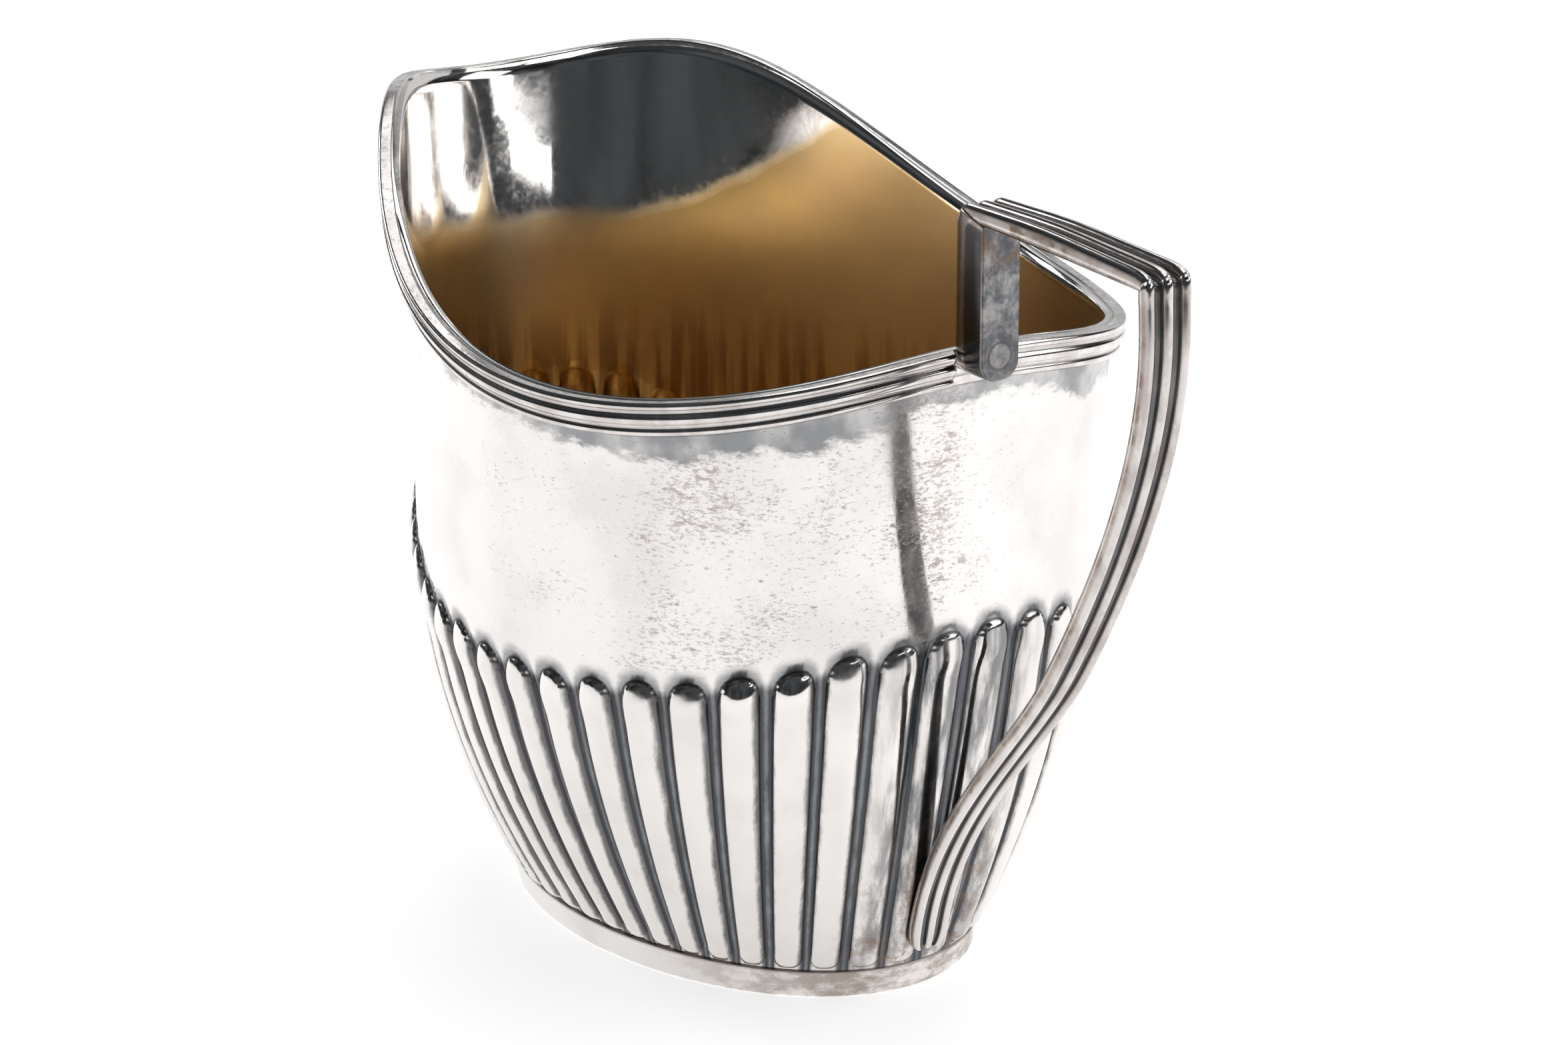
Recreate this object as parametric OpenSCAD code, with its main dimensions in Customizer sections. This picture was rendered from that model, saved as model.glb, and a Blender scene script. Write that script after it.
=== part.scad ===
// Cream jug with an oval half-fluted body, a reeded rim, a strap handle and a low foot.
// X runs along the jug with the handle at +X and the lip at -X. Z is up from the table.
// The origin is the centre of the foot's underside.

/* [Body] */
// Half length of the plain band near the rim
band_half_length = 44.1; // [43:0.1:45]
// Half width of the plain band near the rim
band_half_width = 32.2; // [31:0.1:33]
// Half length of the bowl where the plain band begins
bowl_half_length = 43.2; // [42.5:0.1:44]
// Half width of the bowl where the plain band begins
bowl_half_width = 30.9; // [30:0.1:32]
// Height at which the curve of the bowl runs out into the plain band
bowl_top = 40.8; // [39:0.1:43]
// Thickness of the sheet of the body
wall_thickness = 0.76; // [0.6:0.02:0.9]

/* [Rim] */
// Height of the tip of the lip
lip_height = 81; // [79:0.5:83]
// Height of the reeded moulding under the rim
moulding_height = 3.75; // [3.5:0.05:4]

/* [Flutes] */
// Number of convex flutes round the bowl
flute_count = 44; // [40:2:46]
// How far a flute stands out from the fillets beside it
flute_relief = 0.85; // [0.6:0.05:1]
// Mean height of the line of domed flute tops
flute_line_height = 40; // [39:0.5:41.5]

/* [Foot] */
// Half length of the foot band where the body stands on it
foot_half_length = 31; // [30.8:0.1:31.4]
// Height of the foot band
foot_height = 3.1; // [2.6:0.1:3.4]
// Thickness of the base plate
plate_thickness = 0.8; // [0.6:0.1:1]

/* [Handle] */
// Width of the reeded strap at its upright length
strap_width = 4.5; // [4:0.1:4.6]
// Width of the strap at the back corner, where it is widest
corner_width = 5.4; // [5:0.1:5.6]
// Thickness of the sweep over its reeds
strap_thickness = 1.3; // [1.1:0.1:1.5]
// Height of the lower end of the upright length
riser_bottom = 67.1; // [66.8:0.1:68]

/* [Hidden] */

silver = [0.86, 0.85, 0.83];
gap = 0.04;                         // soldered faces stay this far apart

// Plan of the body: an ellipse bent by small waves, which grow in with height
plan_waves_x = [0.028, -0.026, -0.04];
plan_waves_y = [0.071, -0.039, -0.041];
lip_shift = -3;                     // the plan moves towards the lip as it rises
flare_level = 70;                   // level at which the band sizes are stated
back_tuck = 2.2;                    // the bowl is drawn in behind the handle's tail
body_foot_length = 31;
body_foot_width = 21;

// Line of the rim and line of the flute tops, as waves round the body
rim_waves = [-8.6, 3.05, 2.95, -1.15];
flute_waves = [-3.2, 4.3, 0.4];

function clamp(v, low, high) = max(low, min(high, v));
function mix(a, b, f) = a + (b - a) * f;

function rise(z) = clamp((z - foot_height) / (bowl_top - foot_height), 0, 1);
function swell(z) = 1 - pow(1 - rise(z), 2);
function flare(z) = pow(clamp((z - bowl_top) / (flare_level - bowl_top), 0, 2), 1.5);
function grow(z) =
    let (s = clamp((z - foot_height) / (flare_level - foot_height), 0, 1))
    s * (2 - s);

function half_size(z, foot, bowl, band) = mix(foot, bowl, swell(z)) + (band - bowl) * flare(z);
function half_length(z) = half_size(z, body_foot_length, bowl_half_length, band_half_length);
function half_width(z) = half_size(z, body_foot_width, bowl_half_width, band_half_width);
function tuck(t, z) = 4 * back_tuck * rise(z) * (1 - rise(z)) * pow(max(0, cos(t)), 8);

function wall_x(t, z) =
    let (w = plan_waves_x, s = grow(z))
    lip_shift * s - tuck(t, z)
    + half_length(z) * (cos(t) + s * (w[0] * cos(2 * t) + w[1] * cos(3 * t) + w[2] * cos(4 * t)));
function wall_y(t, z) =
    let (w = plan_waves_y, s = grow(z))
    half_width(z) * (sin(t) + s * (w[0] * sin(2 * t) + w[1] * sin(3 * t) + w[2] * sin(4 * t)));

function rim_z(t) =
    let (w = rim_waves)
    lip_height + w[0] * (cos(t) + 1) + w[1] * (cos(2 * t) - 1)
    + w[2] * (cos(3 * t) + 1) + w[3] * (cos(4 * t) - 1);
function flute_z(t) =
    let (w = flute_waves)
    flute_line_height + w[0] * cos(t) + w[1] * cos(2 * t) + w[2] * cos(3 * t);

// Point on the outside of the body, moved out along the level normal
function normal(t, z) =
    let (d = [wall_x(t + 1, z) - wall_x(t - 1, z), wall_y(t + 1, z) - wall_y(t - 1, z)])
    [d[1], -d[0]] / norm(d);
function skin(t, z, out) =
    let (n = normal(t, z))
    [wall_x(t, z) + out * n[0], wall_y(t, z) + out * n[1], z];

// Distance round the body along the flute line, and the turn angle at a given distance
girth_steps = 180;
girth_turn = 360 / girth_steps;
function girth_point(i) = skin(i * girth_turn, flute_z(i * girth_turn), 0);
girth_parts = [for (i = [0:girth_steps - 1]) norm(girth_point(i + 1) - girth_point(i))];
girth_table = [
    for (sum = 0, i = 0; i <= girth_steps; sum = sum + (i < girth_steps ? girth_parts[i] : 0), i = i + 1)
        [sum, i * girth_turn]
];
girth = girth_table[girth_steps][0];
function turn_at(distance) = lookup(distance, girth_table);

// Flutes: columns of points across each flute, and the height of a flute at a point
pitch = girth / flute_count;
half_flute = 0.4;                   // in pitches
flute_sides = [-1, -0.66, 0, 0.66, 1];
dome_height = 2.8;
tail_start = 0.4;                   // the flutes' lower ends start this far above the foot
tail_height = 1.4;
fillet_sink = 0.3;                  // the fillets lie this far below the plain band

columns = [for (i = [0:flute_count - 1], side = flute_sides)
    [turn_at((i + 0.5 + half_flute * side) * pitch), side]];
column_count = len(columns);

function end_fade(distance, reach) = 1 - clamp(distance / reach, 0, 1);
function relief(side, below, above) =
    let (top = end_fade(below, dome_height), tail = end_fade(above - tail_start, tail_height))
    flute_relief * sqrt(max(0, 1 - side * side - top * top - tail * tail))
    - fillet_sink * (1 - top) * (1 - tail);

// Levels of the rows of points. Each level is [kind, value].
tail_levels = [for (h = [0, 0.5, 0.9, 1.8]) ["foot", h]];
bowl_levels = [for (f = [0.1, 0.24, 0.42, 0.62, 0.82]) ["bowl", f]];
dome_levels = [for (h = [dome_height, 1.7, 0.85, 0.25, 0]) ["dome", h]];
band_levels = [for (f = [0.5, 1]) ["band", f]];
inner_levels = [["band", 1], ["band", 0.5], ["dome", 0], ["dome", 0.85], ["dome", dome_height],
                ["bowl", 0.62], ["bowl", 0.24], ["foot", 1.8], ["foot", 0]];
last_tail = foot_height + 1.8;

function level_z(level, t) =
    level[0] == "foot" ? foot_height + level[1]
    : level[0] == "bowl" ? mix(last_tail, flute_z(t) - dome_height, level[1])
    : level[0] == "dome" ? flute_z(t) - level[1]
    : mix(flute_z(t), rim_z(t), level[1]);

function body_row(level, inset) = [
    for (c = columns)
        let (t = c[0], z = level_z(level, t))
        skin(t, z, relief(c[1], flute_z(t) - z, z - foot_height) - inset)
];

// Faces of a closed tube of rows, where the last row joins the first
function loop_faces(rows, cols) = [
    for (i = [0:rows - 1], j = [0:cols - 1])
        let (k = (j + 1) % cols, m = (i + 1) % rows)
        let (a = i * cols + j, b = i * cols + k, c = m * cols + k, d = m * cols + j)
        each [[a, d, c], [a, c, b]]
];

module body_wall() {
    outer = concat(tail_levels, bowl_levels, dome_levels, band_levels);
    rows = concat(
        [for (level = outer) body_row(level, 0)],
        [for (level = inner_levels) body_row(level, wall_thickness)]
    );
    color(silver)
        polyhedron([for (row = rows) each row], loop_faces(len(rows), column_count), convexity = 10);
}

// Base plate: let into the body and resting on the foot band
plate_half_length = body_foot_length - wall_thickness - 2 * gap;
plate_half_width = body_foot_width - wall_thickness - 2 * gap;

module base_plate() {
    color(silver)
        translate([0, 0, foot_height])
            scale([1, plate_half_width / plate_half_length, 1])
                cylinder(r = plate_half_length, h = plate_thickness, $fn = 96);
}

// Foot band: an oval collet with a softened lower edge
foot_squash = 0.685;
foot_land = 2.2;                    // width of its flat top
foot_batter = 0.6;                  // it draws in this much towards the table
foot_edge = 0.35;                   // its lower edge is bevelled
trim = 0.5;                         // the oval is made this much too tall, then cut flat

module foot_oval() {
    bottom = foot_half_length - foot_batter;
    scale([1, foot_squash, 1])
        rotate_extrude($fn = 120)
            polygon([
                [foot_half_length - foot_land, -trim],
                [bottom - foot_edge - trim, -trim],
                [bottom, foot_edge],
                [foot_half_length, foot_height],
                [foot_half_length, foot_height + trim],
                [foot_half_length - foot_land, foot_height + trim]
            ]);
}

module foot_band() {
    span = 3 * foot_half_length;
    color(silver)
        intersection() {
            foot_oval();
            translate([-span / 2, -span / 2, 0])
                cube([span, span, foot_height]);
        }
}

// Rim moulding: a wire with three reeds. Each reed is [out, down, radius, first, last angle].
reeds = [[1.05, 0.4, 0.4, 90, -50], [0.86, 1.7, 0.62, 55, -55], [0.65, 3.05, 0.42, 55, -90]];
reed_steps = 3;
moulding_steps = 128;
riser_front = 39.5;                 // level of the upright's reeded face
riser_clear = strap_width / 2 + 0.1;

function arc_point(reed, f) =
    let (angle = mix(reed[3], reed[4], f))
    [reed[0] + reed[2] * cos(angle), reed[1] - reed[2] * sin(angle)];
moulding_outline = concat(
    [[gap, 0]],
    [for (reed = reeds, i = [0:reed_steps]) arc_point(reed, i / reed_steps)],
    [[gap, moulding_height]]
);
moulding_distances = concat(
    [0, riser_clear, riser_clear + 0.15],
    [for (i = [2:moulding_steps - 2]) girth * i / moulding_steps],
    [girth - riser_clear - 0.15, girth - riser_clear]
);

// The reeds are filed flat where the handle's upright is soldered on
function filed(p) = abs(p[1]) < riser_clear + 0.05 && p[0] > 0
    ? [min(p[0], riser_front - gap), p[1], p[2]] : p;

module rim_moulding() {
    points = [
        for (q = moulding_outline, s = moulding_distances)
            let (t = turn_at(s))
            filed(skin(t, rim_z(t) - q[1], q[0]))
    ];
    color(silver)
        polyhedron(points, loop_faces(len(moulding_outline), len(moulding_distances)), convexity = 10);
}

// Reeded strap. Its section is a flat back and a face with three reeds, in widths and thicknesses.
// The sides are flat up to the level "edge", and the grooves go down to the level "floor".
outer_reed = 0.41;                  // how far the outer reeds' crests lie from the middle
reed_half = 0.12;
function reed(middle, reach, level, turns) =
    [for (a = turns) [middle + reach * cos(a), mix(level, 1, sin(a))]];
function half_section(edge, floor) = concat(
    reed(0, reed_half, floor, [90, 45, 0]),
    reed(outer_reed, reed_half, floor, [180, 135]),
    reed(outer_reed, 0.5 - outer_reed, edge, [90, 60, 30, 0])
);
function strap_section(edge, floor) =
    let (right = half_section(edge, floor), last = len(right) - 1)
    concat([for (i = [last:-1:1]) [-right[i][0], right[i][1]]], right);

// A station is [back x, back z, face x, face z, width]
function station_points(st, section) = concat(
    [for (q = section) [mix(st[0], st[2], q[1]), q[0] * st[4], mix(st[1], st[3], q[1])]],
    [for (i = [len(section) - 1:-1:0]) [st[0], section[i][0] * st[4], st[1]]]
);

function strap_faces(count, n) =
    let (ring = 2 * n, last = (count - 1) * ring)
    concat(
        [for (i = [0:count - 2], j = [0:ring - 1])
            let (k = (j + 1) % ring)
            let (a = i * ring + j, b = i * ring + k)
            each [[a, b, b + ring], [a, b + ring, a + ring]]],
        [for (j = [0:n - 2]) each [[j, ring - 1 - j, ring - 2 - j], [j, ring - 2 - j, j + 1]]],
        [for (j = [0:n - 2])
            each [[last + j, last + j + 1, last + ring - 2 - j],
                  [last + j, last + ring - 2 - j, last + ring - 1 - j]]]
    );

module strap(stations, edge = 0.2, floor = 0.5) {
    section = strap_section(edge, floor);
    color(silver)
        polyhedron([for (st = stations) each station_points(st, section)],
                   strap_faces(len(stations), len(section)), convexity = 6);
}

// Corners of the handle: [back x, back z, face x, face z]
riser_back = 43.9;
front_mitre = [riser_back, 82.75, 41.1, 84];
back_mitre = [67.75, 81.95, 68.75, 83.1];

function place(corner, width) = concat(corner, [width]);
function shifted(corner, x, z) = [corner[0] + x, corner[1] + z, corner[2] + x, corner[3] + z];

// Upright length, with a round tongue at its lower end. It is thicker, with deep flat sides.
tongue = 2.1;
riser_side = 0.6;
riser_groove = 0.75;
module handle_riser() {
    ends = [for (a = [12, 30, 50, 70, 90])
        let (z = riser_bottom + tongue * (1 - cos(a)))
        [riser_back - 0.5 * (1 - sin(a)), z, riser_front, z, strap_width * sin(a)]];
    strap(concat(ends, [
        [riser_back, 81.4, riser_front, 81.6, strap_width],
        [riser_back, 82.4, 39.9, 83, strap_width],
        place(front_mitre, strap_width)
    ]), riser_side, riser_groove);
}

// Crossbar: slightly arched, from the rounded front corner to the mitre at the back
module handle_crossbar() {
    corners = [
        shifted(front_mitre, gap, 0.01),
        [44.6, 82.75, 42.6, 84.4],
        [46, 82.72, 45.6, 84.5],
        [53, 82.5, 53, 84.55],
        [60, 82.25, 60, 84.2],
        [66.9, 81.98, 67.4, 83.7],
        shifted(back_mitre, -gap, 0.02)
    ];
    strap([for (c = corners)
        place(c, mix(strap_width, corner_width, (c[0] - riser_back) / (back_mitre[0] - riser_back)))]);
}

// Sweep: two curves end to end, with the strap on their outer side
sweep_top = [[67.75, 81.95], [67.75, 77.2], [70.35, 67], [54.85, 41.6]];
sweep_low = [[54.85, 41.6], [49.1, 32.2], [34.2, 20.4], [32.6, 5.4]];
sweep_steps = 11;
middle_width = 5;
tail_width = 4.2;
tip_length = 0.06;                  // share of the lower curve that the rounded end takes
tip_square = 0.5;                   // width left at the very end

function curve(p, f) =
    pow(1 - f, 3) * p[0] + 3 * pow(1 - f, 2) * f * p[1] + 3 * (1 - f) * f * f * p[2] + pow(f, 3) * p[3];
function curve_side(p, f) =
    let (d = curve(p, f + 0.001) - curve(p, f - 0.001))
    [-d[1], d[0]] / norm(d);
function sweep_station(p, f, thick, width) =
    let (c = curve(p, f), o = c + thick * curve_side(p, f))
    [c[0], c[1], o[0], o[1], width];

module handle_sweep() {
    top = [for (i = [1:sweep_steps - 1])
        sweep_station(sweep_top, i / sweep_steps, strap_thickness,
                      mix(corner_width, middle_width, i / sweep_steps))];
    low = [for (i = [0:sweep_steps - 1])
        let (f = i / sweep_steps)
        sweep_station(sweep_low, f, strap_thickness, mix(middle_width, tail_width, f))];
    tip = [for (a = [0, 30, 55, 78])
        sweep_station(sweep_low, mix(1 - tip_length, 1, sin(a)), strap_thickness * mix(0.6, 1, cos(a)),
                      tail_width * mix(tip_square, 1, cos(a)))];
    corner = [back_mitre, [back_mitre[0], 81.15, 69.05, 82]];
    strap(concat([for (c = corner) place(c, corner_width)], top, low, tip));
}

body_wall();
base_plate();
foot_band();
rim_moulding();
handle_riser();
handle_crossbar();
handle_sweep();
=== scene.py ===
import math

import bpy
import numpy as np
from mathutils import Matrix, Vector


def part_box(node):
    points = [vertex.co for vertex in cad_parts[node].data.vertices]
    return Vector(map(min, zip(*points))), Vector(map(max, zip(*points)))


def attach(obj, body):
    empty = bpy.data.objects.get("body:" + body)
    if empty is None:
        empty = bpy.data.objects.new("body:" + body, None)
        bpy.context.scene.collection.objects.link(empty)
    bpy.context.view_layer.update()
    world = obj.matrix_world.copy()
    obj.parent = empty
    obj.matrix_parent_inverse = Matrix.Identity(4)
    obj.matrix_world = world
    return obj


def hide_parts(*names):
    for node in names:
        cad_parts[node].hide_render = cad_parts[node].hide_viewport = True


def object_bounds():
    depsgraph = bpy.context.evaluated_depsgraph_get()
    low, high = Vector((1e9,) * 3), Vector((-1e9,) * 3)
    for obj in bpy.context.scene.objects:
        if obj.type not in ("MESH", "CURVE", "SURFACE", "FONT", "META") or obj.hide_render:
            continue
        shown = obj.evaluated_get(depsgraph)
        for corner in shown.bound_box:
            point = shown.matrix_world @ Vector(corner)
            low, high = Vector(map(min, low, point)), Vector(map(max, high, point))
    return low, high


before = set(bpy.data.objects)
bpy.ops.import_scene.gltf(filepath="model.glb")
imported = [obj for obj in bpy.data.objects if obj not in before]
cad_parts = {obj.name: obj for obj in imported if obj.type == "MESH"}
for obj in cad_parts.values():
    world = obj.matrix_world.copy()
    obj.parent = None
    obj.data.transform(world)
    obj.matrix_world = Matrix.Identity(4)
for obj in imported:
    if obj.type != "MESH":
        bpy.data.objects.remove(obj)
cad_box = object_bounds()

MM = 0.001
rng = np.random.default_rng(11)


# ---- sizes, in millimetres, read from the frame where it gives them ----

def box_mm(node):
    low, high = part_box(node)
    return np.array(low) / MM, np.array(high) / MM


_, foot_high = box_mm("foot_band")
riser_low, riser_high = box_mm("handle_riser")
sweep_low, sweep_high = box_mm("handle_sweep")

FOOT_TOP = foot_high[2]
STRAP_WIDTH = riser_high[1] - riser_low[1]
CORNER_WIDTH = sweep_high[1] - sweep_low[1]
WALL = 0.76
BOWL_TOP = 40.8
FLARE_LEVEL = 70.0
BACK_TUCK = 2.2          # the bowl is drawn in behind the handle's tail
LIP_SHIFT = -3           # the plan moves towards the lip as it rises
HALF_LENGTHS = (31.0, 43.2, 44.1)   # at the foot, at the top of the bowl and in the band
HALF_WIDTHS = (21.0, 30.9, 32.2)


# ---- shape of the body: an oval plan bent by small waves that grow in with height ----

def rise(z):
    return np.clip((z - FOOT_TOP) / (BOWL_TOP - FOOT_TOP), 0, 1)


def half_size(z, foot, bowl, band):
    swell = 1 - (1 - rise(z)) ** 2
    flare = np.clip((z - BOWL_TOP) / (FLARE_LEVEL - BOWL_TOP), 0, 2) ** 1.5
    return foot + (bowl - foot) * swell + (band - bowl) * flare


def grow(z):
    s = np.clip((z - FOOT_TOP) / (FLARE_LEVEL - FOOT_TOP), 0, 1)
    return s * (2 - s)


def wall_xy(t, z):
    s = grow(z)
    tuck = 4 * BACK_TUCK * rise(z) * (1 - rise(z)) * np.maximum(0, np.cos(t)) ** 8
    x = np.cos(t) + s * (0.028 * np.cos(2 * t) - 0.026 * np.cos(3 * t) - 0.04 * np.cos(4 * t))
    y = np.sin(t) + s * (0.071 * np.sin(2 * t) - 0.039 * np.sin(3 * t) - 0.041 * np.sin(4 * t))
    return (half_size(z, *HALF_LENGTHS) * x + LIP_SHIFT * s - tuck,
            half_size(z, *HALF_WIDTHS) * y)


def rim_z(t):
    return (81 - 8.6 * (np.cos(t) + 1) + 3.05 * (np.cos(2 * t) - 1)
            + 2.95 * (np.cos(3 * t) + 1) - 1.15 * (np.cos(4 * t) - 1))


def flute_z(t):
    return 40 - 3.2 * np.cos(t) + 4.3 * np.cos(2 * t) + 0.4 * np.cos(3 * t)


def skin(t, z, out):
    """Point on the outside of the body, moved out along the level normal."""
    step = 0.01
    x, y = wall_xy(t, z)
    xa, ya = wall_xy(t - step, z)
    xb, yb = wall_xy(t + step, z)
    length = np.hypot(xb - xa, yb - ya)
    return np.stack([x + out * (yb - ya) / length, y - out * (xb - xa) / length, z + 0 * x], -1)


girth_turns = np.linspace(0, 2 * np.pi, 1441)
girth_line = skin(girth_turns, flute_z(girth_turns), 0)
girth_sums = np.concatenate([[0], np.cumsum(np.linalg.norm(np.diff(girth_line, axis=0), axis=1))])
GIRTH = girth_sums[-1]


def turn_at(distance):
    return np.interp(distance, girth_sums, girth_turns)


# ---- meshes ----

def make_object(name, points, quads, fields=None, replaces=(), caps=()):
    """A smooth mesh in the row frame from points in millimetres, with a float field per name."""
    low, high = (np.array(c) for c in cad_box)
    points = np.clip(points.reshape(-1, 3) * MM, low, high)
    mesh = bpy.data.meshes.new(name)
    mesh.from_pydata(points.tolist(), [], [list(q) for q in quads] + [list(c) for c in caps])
    mesh.polygons.foreach_set("use_smooth", [True] * len(mesh.polygons))
    for field, values in (fields or {}).items():
        layer = mesh.attributes.new(field, "FLOAT", "POINT")
        layer.data.foreach_set("value", np.asarray(values, np.float32).reshape(-1))
    mesh.update()
    obj = bpy.data.objects.new(name, mesh)
    bpy.context.scene.collection.objects.link(obj)
    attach(obj, "root")
    if replaces:
        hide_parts(*replaces)
    return obj


def loop_quads(rows, cols, closed_rows=True):
    """Quads of a grid whose columns join up, and whose rows join up too when closed_rows is set."""
    i = np.arange(rows if closed_rows else rows - 1)[:, None]
    j = np.arange(cols)[None, :]
    k, m = (j + 1) % cols, (i + 1) % rows
    quads = np.stack([i * cols + j, i * cols + k, m * cols + k, m * cols + j], -1)
    return quads.reshape(-1, 4).tolist()


# ---- body: flutes below, plain band above ----

FLUTES = 44
HALF_FLUTE = 0.4
RELIEF = 0.86            # how far a lobe stands out from the plain band
BELLY = 0.4              # the lobes swell under their domes
SINK = 0.3               # how far the fillets lie below it
DOME = 3.1               # height of a dome
ROUNDNESS = 2.4          # power of the curve that shapes domes and tails
TAIL_START, TAIL_HEIGHT = 0.4, 1.4
DENSE_FOOT, DENSE_TOP = 1.8, 4   # heights with closer rows of points
pitch = GIRTH / FLUTES

side_lobe = np.sin(np.linspace(-np.pi / 2, np.pi / 2, 13))
centres = (np.arange(FLUTES) + 0.59 + rng.normal(0, 0.018, FLUTES)) * pitch
lobe_height = 1 + rng.normal(0, 0.05, FLUTES)
lobe_top = rng.normal(0, 0.22, FLUTES)

column_side, column_hand, column_distance, column_scale, column_top = [], [], [], [], []
for flute in range(FLUTES):
    here, after = centres[flute], centres[(flute + 1) % FLUTES]
    after += GIRTH if flute == FLUTES - 1 else 0
    half = HALF_FLUTE * pitch
    for side in side_lobe:
        column_side.append(abs(side))
        column_hand.append(side > 0)
        column_distance.append(here + half * side)
        column_scale.append(lobe_height[flute])
        column_top.append(lobe_top[flute])
    for f in np.linspace(0, 1, 6)[1:-1]:
        column_side.append(1 + 0.78 * min(f, 1 - f))
        column_hand.append(f < 0.5)
        column_distance.append(here + half + f * (after - here - 2 * half))
        column_scale.append(1)
        column_top.append(lobe_top[flute] * (1 - f) + lobe_top[(flute + 1) % FLUTES] * f)
column_side = np.array(column_side)
column_hand = np.array(column_hand)
column_turn = turn_at(np.array(column_distance) % GIRTH)
column_scale = np.array(column_scale)
column_top = np.array(column_top)


def body_rows():
    """Rows of the outside from the foot to the rim, as functions of each column's lines."""
    t = column_turn
    line, rim = flute_z(t) + column_top, rim_z(t)
    first = FOOT_TOP + DENSE_FOOT
    rows = [FOOT_TOP + h + 0 * t for h in np.linspace(0, DENSE_FOOT, 10)[:-1]]
    rows += [first + (line - DENSE_TOP - first) * f for f in np.linspace(0, 1, 30)[:-1]]
    rows += [line - DENSE_TOP * (1 - f) for f in np.linspace(0, 1, 25)[:-1] ** 0.8]
    rows += [line + (rim - line) * f for f in np.linspace(0, 1, 26)]
    return np.array(rows)


def relief(z):
    drop = flute_z(column_turn) + column_top - z
    top = 1 - np.clip(drop / DOME, 0, 1)
    tail = 1 - np.clip((z - FOOT_TOP - TAIL_START) / TAIL_HEIGHT, 0, 1)
    reach = (column_side ** ROUNDNESS + top ** ROUNDNESS + tail ** ROUNDNESS) ** (2 / ROUNDNESS)
    lobe = np.sqrt(np.maximum(0, 1 - reach))
    belly = BELLY * np.exp(-((drop - 3) / 1.7) ** 2)
    return (RELIEF * column_scale + belly) * lobe - SINK * (1 - top) * (1 - tail)


def hand_waves(t, z):
    """The slow unevenness of hand-raised sheet."""
    return (0.05 * np.sin(3 * t + 0.05 * z) + 0.03 * np.sin(7 * t - 0.06 * z + 1.3)
            + 0.012 * np.sin(11 * t + 0.1 * z + 2.1)) * np.clip((z - 6) / 10, 0, 1)


def make_body():
    outer = body_rows()
    inner = outer[::-1]
    t = column_turn[None, :]
    rows, fields = [], {"depth": [], "drop": [], "side": [], "hand": [], "inside": []}
    for inside, levels in ((0, outer), (1, inner)):
        out = relief(levels) + np.minimum(0, hand_waves(t, levels)) - inside * WALL
        rows.append(skin(t + 0 * levels, levels, out))
        fields["depth"].append(rim_z(t) - levels)
        fields["drop"].append(flute_z(t) + column_top - levels)
        fields["side"].append(column_side + 0 * levels)
        fields["hand"].append(column_hand + 0 * levels)
        fields["inside"].append(inside + 0 * levels)
    points = np.concatenate(rows)
    fields = {name: np.concatenate(values) for name, values in fields.items()}
    quads = loop_quads(len(points), len(column_turn))
    return make_object("fluted_body", points, quads, fields, ["body_wall"])


# ---- rim moulding ----

# each reed: centre out and down, radius, first and last angle
REEDS = ((1.05, 0.4, 0.4, 90, -55), (0.86, 1.7, 0.62, 58, -58), (0.65, 3.05, 0.42, 58, -90))
REED_ENDS = (0.95, 2.55, 3.75)


def moulding_outline():
    points = [(0, 0.0), (0.35, 0.0), (0.7, 0.0)]
    for out, down, radius, first, last in REEDS:
        for angle in np.radians(np.linspace(first, last, 12)):
            points.append((out + radius * math.cos(angle), down - radius * math.sin(angle)))
    points += [(0.3, 3.62), (0, 3.75)]
    return np.array(points)


def make_moulding():
    outline = moulding_outline()
    s = np.linspace(0, GIRTH, 900, endpoint=False)
    t = turn_at(s)[None, :]
    z = rim_z(t) - outline[:, 1:2]
    points = skin(t + 0 * z, z, outline[:, 0:1] + 0 * z)
    near = 1 - np.clip((np.abs(points[..., 1]) - STRAP_WIDTH / 2 - 0.1) / 0.3, 0, 1)
    flat = np.minimum(points[..., 0], riser_low[0] - 0.02)
    points[..., 0] = np.where(points[..., 0] > 0, points[..., 0] + near * (flat - points[..., 0]),
                              points[..., 0])
    groove = np.zeros(len(outline))
    for down in REED_ENDS[:2]:
        groove = np.maximum(groove, 1 - np.abs(outline[:, 1] - down) / 0.42)
    # the underside of the lowest reed is marked too, for a painted shadow under the moulding
    groove = np.maximum(groove, (outline[:, 1] > 3.5) * 0.9)
    fields = {
        "groove": groove[:, None] + 0 * z,
            "top": (outline[:, 1:2] < 0.02) + 0 * z,
    }
    quads = loop_quads(len(outline), len(s))
    return make_object("reeded_rim", points, quads, fields, ["rim_moulding"])


# ---- foot band ----

def make_foot():
    out = foot_high[0]
    squash = foot_high[1] / foot_high[0]
    land, batter, edge = 2.0, 0.6, 0.4
    outline = [(out - land, 0), (out - batter - edge - 0.3, 0)]
    for angle in np.radians(np.linspace(-90, 0, 7)):
        outline.append((out - batter - edge + edge * math.cos(angle), edge + edge * math.sin(angle)))
    outline += [(out - batter * (1 - f), edge + (FOOT_TOP - 0.12 - edge) * f) for f in (0.3, 0.6, 0.9, 1)]
    outline += [(out - 0.12, FOOT_TOP), (out - 0.6, FOOT_TOP), (out - land, FOOT_TOP)]
    outline = np.array(outline)
    t = np.linspace(0, 2 * np.pi, 360, endpoint=False)[None, :]
    r = outline[:, 0:1]
    z = outline[:, 1:2] + 0 * t
    points = np.stack([r * np.cos(t), squash * r * np.sin(t), z], -1)
    quads = loop_quads(len(outline), t.size)
    return make_object("oval_foot", points, quads, {}, ["foot_band"])


# ---- handle ----

# shares of the thickness at which the side ends and the grooves lie
FLAT_SIDE, ROUND_SIDE = (0.6, 0.75), (0.2, 0.42)
OUTER_REED = 0.41        # centre of an outer reed, in strap widths


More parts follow.
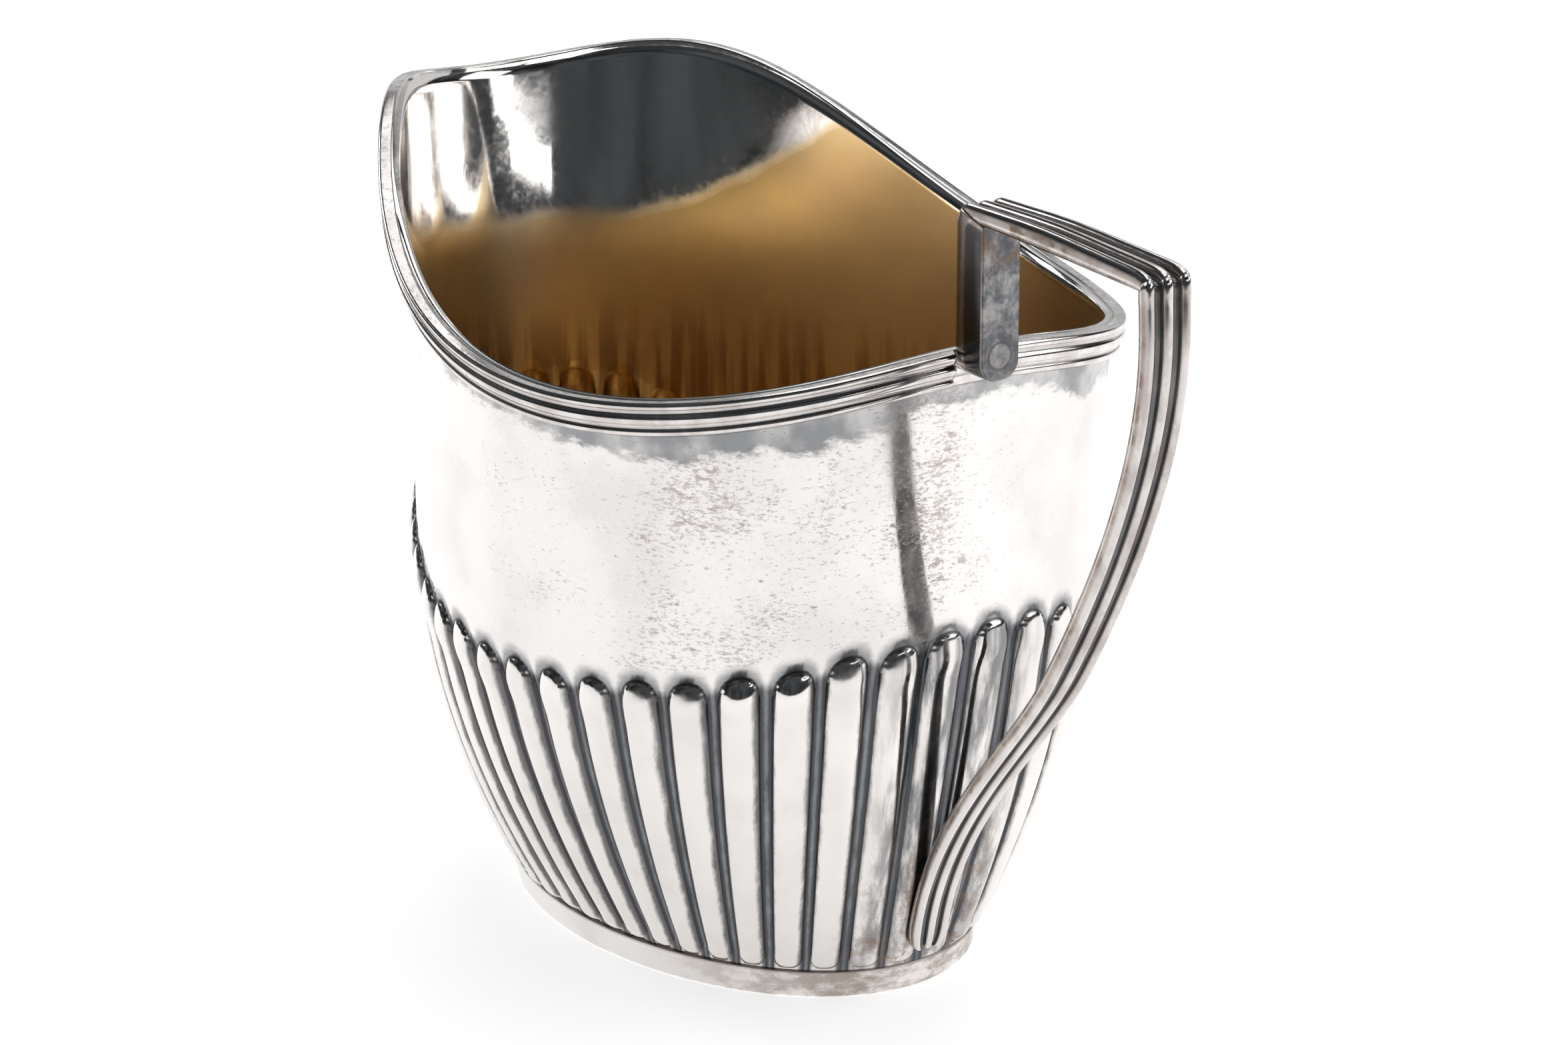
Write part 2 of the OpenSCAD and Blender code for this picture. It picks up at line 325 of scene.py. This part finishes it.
def strap_outline():
    """Half a section: across, share of the way up, and from which level (0 back, 1 groove, 2 edge)."""
    half = [(0.12 * math.cos(a), math.sin(a) ** 0.65, 1) for a in np.radians(np.linspace(90, 4, 7))]
    half += [(0.14, -0.02, 1), (0.2, -0.05, 1), (0.26, -0.02, 1)]
    for a in np.radians(np.linspace(176, 90, 7)):
        half.append((OUTER_REED + 0.13 * math.cos(a), math.sin(a) ** 0.65, 1))
    for a in np.radians(np.linspace(80, 0, 8)):
        half.append((OUTER_REED + 0.09 * math.cos(a), math.sin(a) ** 0.9, 2))
    half += [(0.5, 0.93, 0), (0.5, 0.5, 0), (0.5, 0.1, 0), (0.485, 0, 0)]
    half += [(b, 0, 0) for b in np.linspace(0.44, 0, 6)]
    return half[:-1] + [(-u, h, level) for u, h, level in half[:0:-1]]


def make_strap(name, stations, nodes):
    """stations: rows of back x, back z, face x, face z, width, edge level and groove level."""
    across, climb, level = np.array(strap_outline()).T
    st = np.array(stations)[:, None, :]
    edge, floor = st[..., 5], st[..., 6]
    through = np.where(level == 0, edge * climb, np.where(level == 1, floor, edge))
    through = np.where(level == 0, through, through + (1 - through) * climb)
    x = st[..., 0] + (st[..., 2] - st[..., 0]) * through
    z = st[..., 1] + (st[..., 3] - st[..., 1]) * through
    y = st[..., 4] * across
    points = np.stack([x, y, z], -1)
    rows, cols = points.shape[:2]
    fields = {
        "groove": np.maximum(0, 1 - np.abs(np.abs(across) - 0.2) / 0.14) * (level == 1) + 0 * x,
        "back": ((level == 0) & (climb == 0)) + 0 * x,
        "flank": np.clip((np.abs(across) - 0.46) / 0.04, 0, 1) * (climb > 0) + 0 * x,
        # flat sides of the upright, marked for a painted dark reflection
        "flat": ((np.abs(across) > 0.49) & (through < edge + 0.01)) * (edge > 0.5) * 1.0,
    }
    caps = [list(range(cols))[::-1], [(rows - 1) * cols + c for c in range(cols)]]
    return make_object(name, points, loop_quads(rows, cols, False), fields, nodes, caps)


def between(a, b, count):
    return [list(np.array(a) + (np.array(b) - np.array(a)) * f) for f in np.linspace(0, 1, count)]


RISER_BACK, RISER_FACE = riser_high[0], riser_low[0]
CORNER = (41.75, 82.2, 2.25)      # centre and radius of the face at the front corner
BACK_MITRE = [67.75, 81.95, 68.75, 83.1]


def corner_station(f):
    """Front corner of the handle, turned from the upright at 0 to the bar at 1."""
    angle = math.radians(180 - 86 * f)
    edge, floor = (a + (b - a) * f for a, b in zip(FLAT_SIDE, ROUND_SIDE))
    return [RISER_BACK, 81.7 + 1.05 * min(1, 2 * f), CORNER[0] + CORNER[2] * math.cos(angle),
            CORNER[1] + CORNER[2] * math.sin(angle), STRAP_WIDTH, edge, floor]


def bar_station(back_x, back_z, face_x, face_z, width=STRAP_WIDTH):
    return [back_x, back_z, face_x, face_z, width, *ROUND_SIDE]


def make_riser():
    tongue = 2.1
    stations = []
    for angle in np.radians(np.linspace(4, 90, 14)):
        z = riser_low[2] + tongue * (1 - math.cos(angle))
        back = RISER_BACK - 0.55 * (1 - math.sin(angle)) ** 2
        stations.append([back, z, RISER_FACE, z, STRAP_WIDTH * math.sin(angle), *FLAT_SIDE])
    stations += between(stations[-1], corner_station(0), 16)[1:]
    stations += [corner_station(f) for f in (0.1, 0.2, 0.3, 0.4, 0.5)]
    return make_strap("handle_upright", stations, ["handle_riser"])


def make_crossbar():
    stations = [corner_station(f) for f in (0.5, 0.6, 0.7, 0.8, 0.9, 1)]
    arch = ((46, 82.72, 45.6, 84.5), (49.5, 82.63, 49.3, 84.55), (53, 82.5, 53, 84.52),
            (57, 82.37, 57, 84.35), (60, 82.25, 60, 84.17), (63.5, 82.12, 63.5, 83.98),
            (66, 82.02, 66.2, 83.82), (67, 81.98, 67.4, 83.7), (67.4, 81.96, 68.15, 83.48), BACK_MITRE)
    for corner in arch:
        share = (corner[0] - RISER_BACK) / (BACK_MITRE[0] - RISER_BACK)
        last = bar_station(*corner, STRAP_WIDTH + (CORNER_WIDTH - STRAP_WIDTH) * share)
        stations += between(stations[-1], last, 4)[1:]
    return make_strap("handle_bar", stations, ["handle_crossbar"])


def curve(p, f):
    p = np.array(p)
    return (1 - f) ** 3 * p[0] + 3 * (1 - f) ** 2 * f * p[1] + 3 * (1 - f) * f * f * p[2] + f ** 3 * p[3]


def curve_station(p, f, thick, width):
    d = curve(p, f + 0.001) - curve(p, f - 0.001)
    c = curve(p, f)
    o = c + thick * np.array([-d[1], d[0]]) / np.linalg.norm(d)
    return bar_station(c[0], c[1], o[0], o[1], width)


# the back line of the sweep, as two cubic curves
SWEEP_TOP = ((67.75, 81.95), (67.75, 77.2), (70.35, 67), (54.85, 41.6))
SWEEP_LOW = ((54.85, 41.6), (49.1, 32.2), (34.2, 20.4), (32.6, 5.4))
STRAP_THICK = 1.3
MIDDLE_WIDTH, TAIL_WIDTH = 5.0, 4.2


def make_sweep():
    corners = (BACK_MITRE, (67.75, 81.65, 69.0, 82.6), (67.75, 81.3, 69.07, 82.1),
               (67.75, 80.95, 69.07, 81.5))
    stations = [bar_station(*corner, CORNER_WIDTH) for corner in corners]
    for f in np.linspace(0.09, 1, 60):
        width = CORNER_WIDTH + (MIDDLE_WIDTH - CORNER_WIDTH) * f
        stations.append(curve_station(SWEEP_TOP, f, STRAP_THICK, width))
    for f in np.linspace(0, 0.93, 60)[1:]:
        width = MIDDLE_WIDTH + (TAIL_WIDTH - MIDDLE_WIDTH) * f
        stations.append(curve_station(SWEEP_LOW, f, STRAP_THICK, width))
    for angle in np.radians(np.linspace(0, 82, 12)):
        f, s = 0.94 + 0.06 * math.sin(angle), math.cos(angle)
        thick, width = STRAP_THICK * (0.6 + 0.4 * s), TAIL_WIDTH * (0.55 + 0.45 * s)
        stations.append(curve_station(SWEEP_LOW, f, thick, width))
    return make_strap("handle_curve", stations, ["handle_sweep"])


# ---- materials ----

class Shader:
    """A node material, built up by short calls that return sockets."""

    def __init__(self, name):
        self.material = bpy.data.materials.new(name)
        self.material.use_nodes = True
        self.tree = self.material.node_tree
        self.bsdf = self.tree.nodes["Principled BSDF"]
        self.position = self.node("ShaderNodeTexCoord").outputs["Object"]

    def node(self, kind, **values):
        made = self.tree.nodes.new(kind)
        for key, value in values.items():
            setattr(made, key, value)
        return made

    def put(self, socket, value):
        if hasattr(value, "is_output"):
            self.tree.links.new(value, socket)
        else:
            socket.default_value = value

    def field(self, name):
        return self.node("ShaderNodeAttribute", attribute_name=name).outputs["Fac"]

    def math(self, operation, a, b=0.0):
        made = self.node("ShaderNodeMath", operation=operation)
        self.put(made.inputs[0], a)
        self.put(made.inputs[1], b)
        return made.outputs[0]

    def step(self, value, low, high):
        """0 below low and 1 above high, smooth between. low may be above high."""
        made = self.node("ShaderNodeMapRange", interpolation_type="SMOOTHSTEP")
        for index, item in enumerate((value, low, high, 0.0, 1.0)):
            self.put(made.inputs[index], item)
        return made.outputs[0]

    def axis(self, index):
        made = self.node("ShaderNodeSeparateXYZ")
        self.put(made.inputs[0], self.position)
        return made.outputs[index]

    def noise(self, scale, stretch=(1, 1, 1), detail=4.0, rough=0.55, shift=0.0):
        mapping = self.node("ShaderNodeMapping")
        self.put(mapping.inputs["Vector"], self.position)
        mapping.inputs["Scale"].default_value = stretch
        mapping.inputs["Location"].default_value = (shift, shift * 0.7, shift * 1.3)
        made = self.node("ShaderNodeTexNoise")
        self.put(made.inputs["Vector"], mapping.outputs[0])
        made.inputs["Scale"].default_value = scale
        made.inputs["Detail"].default_value = detail
        made.inputs["Roughness"].default_value = rough
        return made.outputs["Fac"]

    def mix(self, share, a, b):
        made = self.node("ShaderNodeMix", data_type="RGBA")
        self.put(made.inputs[0], share)
        self.put(made.inputs[6], a if hasattr(a, "is_output") else (*a, 1))
        self.put(made.inputs[7], b if hasattr(b, "is_output") else (*b, 1))
        return made.outputs[2]

    def blend(self, share, a, b):
        made = self.node("ShaderNodeMix", data_type="FLOAT")
        self.put(made.inputs[0], share)
        self.put(made.inputs[2], a)
        self.put(made.inputs[3], b)
        return made.outputs[0]

    def both(self, *values):
        made = values[0]
        for value in values[1:]:
            made = self.math("MULTIPLY", made, value)
        return made

    def most(self, *values):
        made = values[0]
        for value in values[1:]:
            made = self.math("MAXIMUM", made, value)
        return made

    def finish(self, colour, roughness, bumps):
        """bumps: pairs of height socket and depth in metres."""
        normal = None
        for height, depth in bumps:
            bump = self.node("ShaderNodeBump")
            bump.inputs["Strength"].default_value = 1.0
            bump.inputs["Distance"].default_value = depth
            self.put(bump.inputs["Height"], height)
            if normal is not None:
                self.put(bump.inputs["Normal"], normal)
            normal = bump.outputs[0]
        self.put(self.bsdf.inputs["Base Color"], colour)
        self.put(self.bsdf.inputs["Roughness"], roughness)
        self.put(self.bsdf.inputs["Metallic"], 1.0)
        if normal is not None:
            self.put(self.bsdf.inputs["Normal"], normal)
        return self.material


# colours of the metal, its tarnish and its gilding; DARK and BLUE_GREY also paint shade
SILVER = (0.84, 0.81, 0.785)
HAZE = (0.68, 0.645, 0.625)
BLUE_GREY = (0.215, 0.225, 0.24)
DARK = (0.06, 0.06, 0.065)
ROSE_GREY = (0.36, 0.31, 0.295)
BROWN = (0.22, 0.15, 0.10)
TARNISH = (0.085, 0.09, 0.10)
GILT = (1.0, 0.76, 0.38)
GILT_BROWN = (0.80, 0.62, 0.38)
GILT_GREY = (0.66, 0.54, 0.41)
GILT_DEEP = (0.42, 0.26, 0.10)
LIP_FLARE = 0.2          # how much further the inside of the lip leans out, as a slope


def silver_base(s):
    """Polished silver with a soft haze: colour, roughness and the bumps of wear."""
    cloud = s.noise(90, detail=5)
    fine = s.noise(1400, detail=3, shift=3)
    hazy = s.step(cloud, 0.42, 0.68)
    colour = s.mix(s.both(hazy, 0.5), SILVER, HAZE)
    roughness = s.blend(hazy, 0.07, 0.15)
    roughness = s.math("ADD", roughness, s.both(s.step(fine, 0.4, 0.75), 0.05))
    bumps = [(s.noise(110, detail=2, shift=9), 0.00005), (s.noise(900, (1, 1, 0.4), detail=3), 0.000006)]
    return colour, roughness, bumps


def stain(s, colour, roughness, share, tint, matt):
    return s.mix(share, colour, tint), s.blend(share, roughness, matt)


def body_material():
    s = Shader("body_silver_worn")
    colour, roughness, bumps = silver_base(s)
    depth, drop, side, hand, inside = (s.field(n) for n in ("depth", "drop", "side", "hand", "inside"))
    x, y, z = (s.axis(i) for i in range(3))
    outside = s.math("SUBTRACT", 1.0, inside)
    ragged = s.noise(420, (1, 1, 2.2), detail=7, rough=0.7)
    ragged_mm = s.both(s.math("SUBTRACT", ragged, 0.5), 5.0)
    slow_mm = s.both(s.math("SUBTRACT", s.noise(95, detail=2, shift=41), 0.5), 6.0)
    patchy = s.noise(160, detail=3, shift=17)

    # grey band under the rim, with a ragged lower edge, strongest towards the handle
    reach = s.math("ADD", s.blend(s.step(x, -0.02, 0.03), 4.0, 5.6), slow_mm)
    under = s.step(s.math("SUBTRACT", s.math("ADD", depth, ragged_mm), reach), 0.9, -0.5)
    under = s.both(under, s.blend(s.step(patchy, 0.35, 0.6), 0.45, 0.85))
    under = s.both(under, s.blend(s.step(x, -0.022, 0.012), 0.12, 1))
    colour, roughness = stain(s, colour, roughness, s.both(under, outside), BLUE_GREY, 0.35)

    # specks in level streaks, thick near the handle and thin elsewhere
    near_back = s.step(x, -0.005, 0.028)
    near_side = s.step(y, 0.012, -0.004)
    band = s.step(drop, -0.3, -2)
    region = s.noise(75, detail=2, shift=21)
    crowd = s.math("ADD", s.both(near_back, 0.10), s.both(s.step(region, 0.4, 0.7), 0.10))
    speck = s.math("ADD", s.noise(1500, (1, 1, 2.4), detail=7, rough=0.75, shift=5), crowd)
    blotch = s.math("ADD", s.noise(520, (1, 1, 3), detail=8, rough=0.75, shift=31), crowd)
    specks = s.most(s.both(s.step(speck, 0.67, 0.75), 0.55), s.both(s.step(blotch, 0.72, 0.77), 0.7))
    tint = s.mix(s.step(region, 0.4, 0.6), BLUE_GREY, ROSE_GREY)
    colour, roughness = stain(s, colour, roughness, s.both(specks, band, outside, near_side), tint, 0.4)

    # grey tarnish with painted shade around the domed tops of the flutes, and a dark line of painted shade
    # along their edge
    above = s.math("MAXIMUM", s.math("SUBTRACT", 1.0, s.both(drop, 1 / DOME)), 0.0)
    reach = s.math("ADD", s.math("POWER", side, ROUNDNESS), s.math("POWER", above, ROUNDNESS))
    reach = s.math("POWER", reach, 1 / ROUNDNESS)
    fade = s.step(s.math("ADD", reach, s.both(ragged_mm, 0.08)), 1.6, 1.1)
    # painted shade with grey tarnish, in a soft band just outside each dome
    dome_tarnish_and_shade = s.both(s.step(reach, 0.96, 1.0), fade, s.step(drop, -2.6, -1.2), outside)
    colour, roughness = stain(s, colour, roughness, s.both(dome_tarnish_and_shade, 0.8), BLUE_GREY, 0.4)
    # painted shade: a thin dark line along the edge of each dome
    line = s.both(s.step(reach, 0.93, 0.99), s.step(reach, 1.1, 1.02), s.step(drop, -1, 0), outside)
    colour, roughness = stain(s, colour, roughness, s.both(line, 0.8), DARK, 0.4)

    # fillets: matt and rosy grey; painted shade, dark along both edges and further up one flank of each lobe
    fluted = s.both(s.step(drop, 0.6, 1.8), outside)
    fillet = s.both(s.step(side, 0.97, 1.05), fluted)
    recess_tone = s.mix(s.step(x, -0.01, 0.02), ROSE_GREY, BLUE_GREY)
    colour, roughness = stain(s, colour, roughness, s.both(fillet, 0.85), recess_tone, 0.45)
    # painted shade on the lobe flanks beside each fillet; this noise only makes its edge ragged
    worn = s.both(s.math("SUBTRACT", s.noise(700, (1, 1, 0.3), detail=6, rough=0.7, shift=2), 0.5), 0.5)
    low = s.blend(hand, 0.78, 0.6)
    flank_shade = s.step(s.math("SUBTRACT", s.math("ADD", side, worn), low), -0.04, 0.28)
    crease_shade = s.both(flank_shade, s.step(s.math("ADD", side, worn), 1.42, 1.12), fluted)
    colour, roughness = stain(s, colour, roughness, s.both(crease_shade, 0.85), DARK, 0.4)

    # heavy tarnish in the flutes behind the handle's tail
    middle = s.step(s.math("ABSOLUTE", y), 0.0105, 0.005)
    behind = s.both(s.step(x, 0.022, 0.034), middle, s.step(drop, 0, 1))
    streaks = s.noise(520, (1, 1, 0.06), detail=5, rough=0.6, shift=7)
    heavy = s.both(behind, s.step(streaks, 0.36, 0.62), outside)
    colour, roughness = stain(s, colour, roughness, s.both(heavy, 0.8), TARNISH, 0.22)
    rust = s.step(s.noise(300, detail=7, rough=0.7, shift=37), 0.46, 0.6)
    rust = s.both(behind, s.step(z, 0.026, 0.008), rust)
    colour, roughness = stain(s, colour, roughness, s.both(rust, outside, 0.75), BROWN, 0.4)

    # gilding inside, worn off above a line that rises away from the lip
    wander = s.both(s.math("SUBTRACT", s.noise(60, detail=5, shift=13), 0.5), 0.006)
    line = s.blend(s.step(x, -0.042, -0.012), 0.0645, 0.079)
    level = s.math("SUBTRACT", s.math("ADD", z, wander), line)
    gilt = s.both(inside, s.step(level, 0.001, -0.0015), s.step(depth, 0.9, 1.6))
    cloudy = s.step(s.noise(34, detail=4, shift=19), 0.38, 0.62)
    tone = s.mix(cloudy, GILT_BROWN, GILT)
    pale = s.both(s.step(x, -0.03, -0.005), s.blend(s.noise(120, (1, 1, 2), detail=6, shift=23), 0.5, 1.1))
    tone = s.mix(s.both(pale, 0.8), tone, GILT_GREY)
    ripple = s.step(s.noise(620, (1, 1, 0.07), detail=2, shift=4), 0.4, 0.6)
    low = s.step(z, 0.056, 0.046)
    tone = s.mix(s.both(low, ripple, s.step(x, 0.014, -0.004), 0.9), tone, GILT_DEEP)
    colour = s.mix(gilt, colour, tone)
    roughness = s.blend(gilt, roughness, 0.3)

    # the inside of the lip is bumped so that it shades as if it flared a little
    climb = s.math("SUBTRACT", z, 0.063)
    bend = s.math("SQRT", s.math("ADD", s.both(climb, climb), 0.000016))
    flare = s.both(s.math("ADD", climb, bend), inside, s.step(x, -0.012, -0.036), -0.5 * LIP_FLARE)
    bumps = [(flare, 1.0)] + bumps
    return s.finish(colour, roughness, bumps)


def rim_material():
    s = Shader("rim_silver_worn")
    colour, roughness, bumps = silver_base(s)
    groove, top = s.field("groove"), s.field("top")
    # dark grime in the grooves between the reeds, and painted shadow under the lowest reed
    recess_tone = s.both(s.step(groove, 0.25, 0.8), s.blend(s.noise(300, detail=4), 0.7, 1.2))
    colour, roughness = stain(s, colour, roughness, s.both(recess_tone, 0.75), DARK, 0.4)
    dull = s.step(s.noise(260, detail=6, rough=0.65, shift=27), 0.38, 0.62)
    colour, roughness = stain(s, colour, roughness, s.blend(dull, 0.15, 0.5), ROSE_GREY, 0.24)
    pits = s.step(s.noise(1100, detail=5, rough=0.7, shift=6), 0.5, 0.62)
    colour, roughness = stain(s, colour, roughness, s.both(top, s.blend(pits, 0.15, 0.6)), BLUE_GREY, 0.3)
    return s.finish(colour, roughness, bumps)


def handle_material():
    s = Shader("handle_silver_worn")
    colour, roughness, bumps = silver_base(s)
    y, z = s.axis(1), s.axis(2)
    groove, back, flank, flat = (s.field(n) for n in ("groove", "back", "flank", "flat"))
    dull = s.step(s.noise(300, (1, 1, 0.5), detail=6, rough=0.65, shift=27), 0.38, 0.62)
    dull = s.both(s.blend(dull, 0.3, 0.75), s.blend(s.step(z, 0.02, 0.05), 0.25, 1))
    colour, roughness = stain(s, colour, roughness, dull, ROSE_GREY, 0.22)
    recess_tone = s.both(s.step(groove, 0.12, 0.5), s.blend(s.noise(260, detail=4), 0.75, 1.2))
    colour, roughness = stain(s, colour, roughness, s.both(recess_tone, 0.85), DARK, 0.3)
    mottle = s.step(s.noise(420, detail=7, rough=0.7, shift=8), 0.36, 0.6)
    colour, roughness = stain(s, colour, roughness, s.both(back, s.blend(mottle, 0.6, 0.95)), TARNISH, 0.3)
    rust = s.step(s.noise(350, detail=6, rough=0.7, shift=12), 0.48, 0.62)
    shadowed = s.both(s.step(flank, 0.3, 0.95), s.blend(rust, 0.45, 0.85))
    colour, roughness = stain(s, colour, roughness, shadowed, BROWN, 0.4)
    # painted dark reflection on the flat sides of the upright and the start of the front corner
    colour, roughness = stain(s, colour, roughness, s.both(flat, 0.88), DARK, 0.22)

    # brown bloom under the corner, and the round mark low on the back of the upright
    bloom = s.both(back, s.step(z, 0.0775, 0.0805), rust)
    colour, roughness = stain(s, colour, roughness, s.both(bloom, 0.8), BROWN, 0.4)
    high = s.math("SUBTRACT", z, (riser_low[2] + 2.6) * MM)
    away = s.math("SQRT", s.math("ADD", s.both(y, y), s.both(high, high)))
    mark = s.both(back, s.step(away, 0.00155, 0.0014))
    ring = s.both(mark, s.step(away, 0.0011, 0.0013))
    colour, roughness = stain(s, colour, roughness, s.both(mark, 0.1), HAZE, 0.35)
    colour, roughness = stain(s, colour, roughness, s.both(ring, 0.6), DARK, 0.4)
    return s.finish(colour, roughness, bumps)


def foot_material():
    s = Shader("foot_silver_worn")
    colour, roughness, bumps = silver_base(s)
    x, z = s.axis(0), s.axis(2)
    stains = s.both(s.step(x, 0.008, 0.032), s.step(s.noise(240, (1, 1, 2), detail=7, rough=0.7), 0.36, 0.6))
    colour, roughness = stain(s, colour, roughness, s.both(stains, 0.7), BROWN, 0.45)
    line = s.step(z, FOOT_TOP * MM - 0.0005, FOOT_TOP * MM - 0.0001)
    colour, roughness = stain(s, colour, roughness, s.both(line, 0.7), ROSE_GREY, 0.5)
    return s.finish(colour, roughness, bumps)


def base_material():
    s = Shader("base_gilt_worn")
    colour, roughness, bumps = silver_base(s)
    z = s.axis(2)
    top = s.step(z, (FOOT_TOP + 0.3) * MM, (FOOT_TOP + 0.5) * MM)
    under = s.mix(s.step(s.noise(120, detail=6), 0.4, 0.65), colour, BLUE_GREY)
    cloudy = s.step(s.noise(55, detail=6, rough=0.65, shift=19), 0.38, 0.62)
    dirt = s.step(s.noise(380, detail=7, rough=0.7, shift=29), 0.42, 0.66)
    gilt = s.mix(s.blend(dirt, 0.35, 0.85), s.mix(cloudy, GILT_BROWN, GILT), GILT_DEEP)
    rough = s.blend(dirt, 0.34, 0.5)
    return s.finish(s.mix(top, under, gilt), s.blend(top, roughness, rough), bumps)


# ---- studio ----

CAMERA_AZIMUTH = math.radians(55.44)

def area_light(name, place, aim, size, power, colour=(1, 1, 1)):
    data = bpy.data.lights.new(name, "AREA")
    data.shape = "RECTANGLE"
    data.size, data.size_y = size
    data.energy = power
    data.color = colour
    obj = bpy.data.objects.new(name, data)
    obj.location = place
    obj.rotation_euler = (Vector(aim) - Vector(place)).to_track_quat("-Z", "Y").to_euler()
    bpy.context.scene.collection.objects.link(obj)
    return obj


def make_floor():
    mesh = bpy.data.meshes.new("floor")
    count, radius, shift = 96, 3.0, 2.62
    turn = CAMERA_AZIMUTH + math.pi / 2
    away = (-math.sin(CAMERA_AZIMUTH) * shift, math.cos(CAMERA_AZIMUTH) * shift)
    ring = [(away[0] + radius * math.cos(a), away[1] + radius * math.sin(a), 0)
            for a in np.linspace(0, 2 * np.pi, count + 1)[:-1] + turn]
    mesh.from_pydata(ring, [], [list(range(count))])
    floor = bpy.data.objects.new("floor", mesh)
    bpy.context.scene.collection.objects.link(floor)
    s = Shader("pale_floor")
    s.put(s.bsdf.inputs["Base Color"], (0.7, 0.7, 0.704, 1))
    s.put(s.bsdf.inputs["Roughness"], 0.6)
    s.put(s.bsdf.inputs["Emission Color"], (1, 1, 1, 1))
    s.put(s.bsdf.inputs["Emission Strength"], 0.72)
    floor.data.materials.append(s.material)


def make_world():
    world = bpy.data.worlds.new("studio")
    bpy.context.scene.world = world
    world.use_nodes = True
    tree = world.node_tree
    background = tree.nodes["Background"]
    mixed = tree.nodes.new("ShaderNodeMixShader")
    seen = tree.nodes.new("ShaderNodeBackground")
    path = tree.nodes.new("ShaderNodeLightPath")
    room = tree.nodes.new("ShaderNodeTexNoise")
    room.inputs["Scale"].default_value = 2.2
    room.inputs["Detail"].default_value = 3
    shade = tree.nodes.new("ShaderNodeMapRange")
    for index, value in ((1, 0.38), (2, 0.68), (3, 0.012), (4, 0.10)):
        shade.inputs[index].default_value = value
    tree.links.new(tree.nodes.new("ShaderNodeTexCoord").outputs["Generated"], room.inputs["Vector"])
    tree.links.new(room.outputs["Fac"], shade.inputs[0])
    tree.links.new(shade.outputs[0], background.inputs["Strength"])
    background.inputs["Color"].default_value = (0.85, 0.93, 1.0, 1)
    seen.inputs["Color"].default_value = (0.95, 0.95, 0.955, 1)
    tree.links.new(path.outputs["Is Camera Ray"], mixed.inputs[0])
    tree.links.new(background.outputs[0], mixed.inputs[1])
    tree.links.new(seen.outputs[0], mixed.inputs[2])
    tree.links.new(mixed.outputs[0], tree.nodes["World Output"].inputs["Surface"])


def make_camera():
    """The camera stands at the photograph's angle, on the handle side and a little above the rim."""
    azimuth, elevation, distance = CAMERA_AZIMUTH, math.radians(18.22), 0.4912
    target = Vector((7.93 * MM, 0, 43.44 * MM))
    level = math.cos(elevation)
    back = Vector((math.sin(azimuth) * level, -math.cos(azimuth) * level, math.sin(elevation)))
    data = bpy.data.cameras.new("camera")
    data.sensor_width, data.lens = 36.0, 110.5
    camera = bpy.data.objects.new("camera", data)
    camera.location = target + back * distance
    camera.rotation_euler = (-back).to_track_quat("-Z", "Y").to_euler()
    bpy.context.scene.collection.objects.link(camera)
    bpy.context.scene.camera = camera


make_world()
make_floor()
area_light("overhead", (-0.35, 0.42, 0.95), (-0.05, 0, 0.03), (0.8, 0.8), 3.2)
area_light("above", (0.02, 0.0, 0.9), (0, 0, 0), (0.35, 0.35), 1.0)
area_light("backdrop", (-1.3, 0.9, 0.5), (0, 0, 0.05), (2.2, 0.8), 3.6)
area_light("left_box", (-0.38, -0.16, 0.3), (-0.14, -0.05, 0), (0.15, 0.15), 0.4)
area_light("back_right", (0.36, 0.62, 0.52), (0, 0, 0.05), (0.65, 0.5), 2.2)
area_light("right_box", (0.5, 0.07, 0.183), (-0.04, 0, 0.07), (0.35, 0.03), 0.1)
area_light("low_right", (0.5, 0.33, 0.24), (-0.03, 0, 0.06), (0.22, 0.085), 0.27)
make_camera()

bpy.context.scene.view_settings.view_transform = "Standard"

body = make_body()
body.data.materials.append(body_material())
rim = make_moulding()
rim.data.materials.append(rim_material())
foot = make_foot()
foot.data.materials.append(foot_material())
strap_silver = handle_material()
for piece in (make_riser(), make_crossbar(), make_sweep()):
    piece.data.materials.append(strap_silver)

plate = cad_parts["base_plate"]
plate.data.materials.clear()
plate.data.materials.append(base_material())

bpy.context.view_layer.update()
